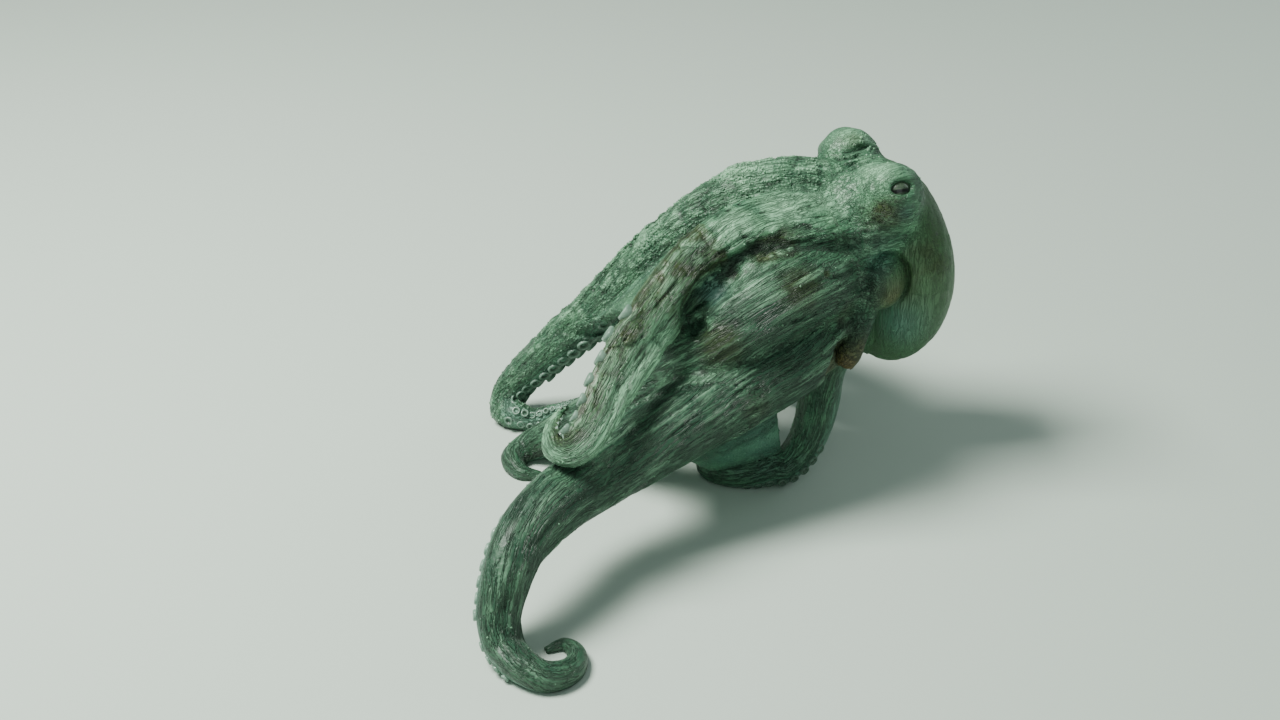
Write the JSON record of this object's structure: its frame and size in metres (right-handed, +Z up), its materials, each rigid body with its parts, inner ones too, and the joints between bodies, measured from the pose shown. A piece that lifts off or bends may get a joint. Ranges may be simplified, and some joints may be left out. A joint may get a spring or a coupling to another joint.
{
  "type": "octopus",
  "caption": "Life-size common octopus walking on its arms, mantle hanging behind the raised head, one front arm striding ahead, webbed and sucker-lined arms curled on the floor.",
  "frame": {"origin": "On the floor, under the middle of the overall box.", "axes": "+Z up. The arms reach forward towards -X; the left side, with the striding third arm, is towards -Y. +Y is the longest extent and +Z the shortest."},
  "size_m": [0.3206, 0.4536, 0.227],
  "materials": {
    "skin": "moist satin skin, mottled, wrinkled and granular",
    "web": "thin moist skin, mottled like the arms",
    "mantle_skin": "moist satin skin, smoother and darker than the arms",
    "funnel_skin": "smooth wet orange-brown skin",
    "eye": "wet gloss with a dark slit pupil"
  },
  "bodies": {
    "root": {"arm_left_1_base": "skin", "arm_left_1_middle": "skin", "arm_left_1_tip": "skin", "arm_left_2_base": "skin", "arm_left_2_middle": "skin", "arm_left_2_tip": "skin", "arm_left_3_base": "skin", "arm_left_3_middle": "skin", "arm_left_3_tip": "skin", "arm_left_4_base": "skin", "arm_left_4_middle": "skin", "arm_left_4_tip": "skin", "arm_right_1_base": "skin", "arm_right_1_middle": "skin", "arm_right_1_tip": "skin", "arm_right_2_base": "skin", "arm_right_2_middle": "skin", "arm_right_2_tip": "skin", "arm_right_3_base": "skin", "arm_right_3_middle": "skin", "arm_right_3_tip": "skin", "arm_right_4_base": "skin", "arm_right_4_middle": "skin", "arm_right_4_tip": "skin", "crown": "skin", "eye_left": "eye", "eye_right": "eye", "funnel": "funnel_skin", "head": "skin", "mantle": "mantle_skin", "web_dorsal": "web", "web_left_1_2": "web", "web_left_2_3": "web", "web_left_3_4": "web", "web_left_lower": "web", "web_right_1_2": "web", "web_right_2_3": "web", "web_right_3_4": "web", "web_ventral": "web"}
  },
  "joints": []
}
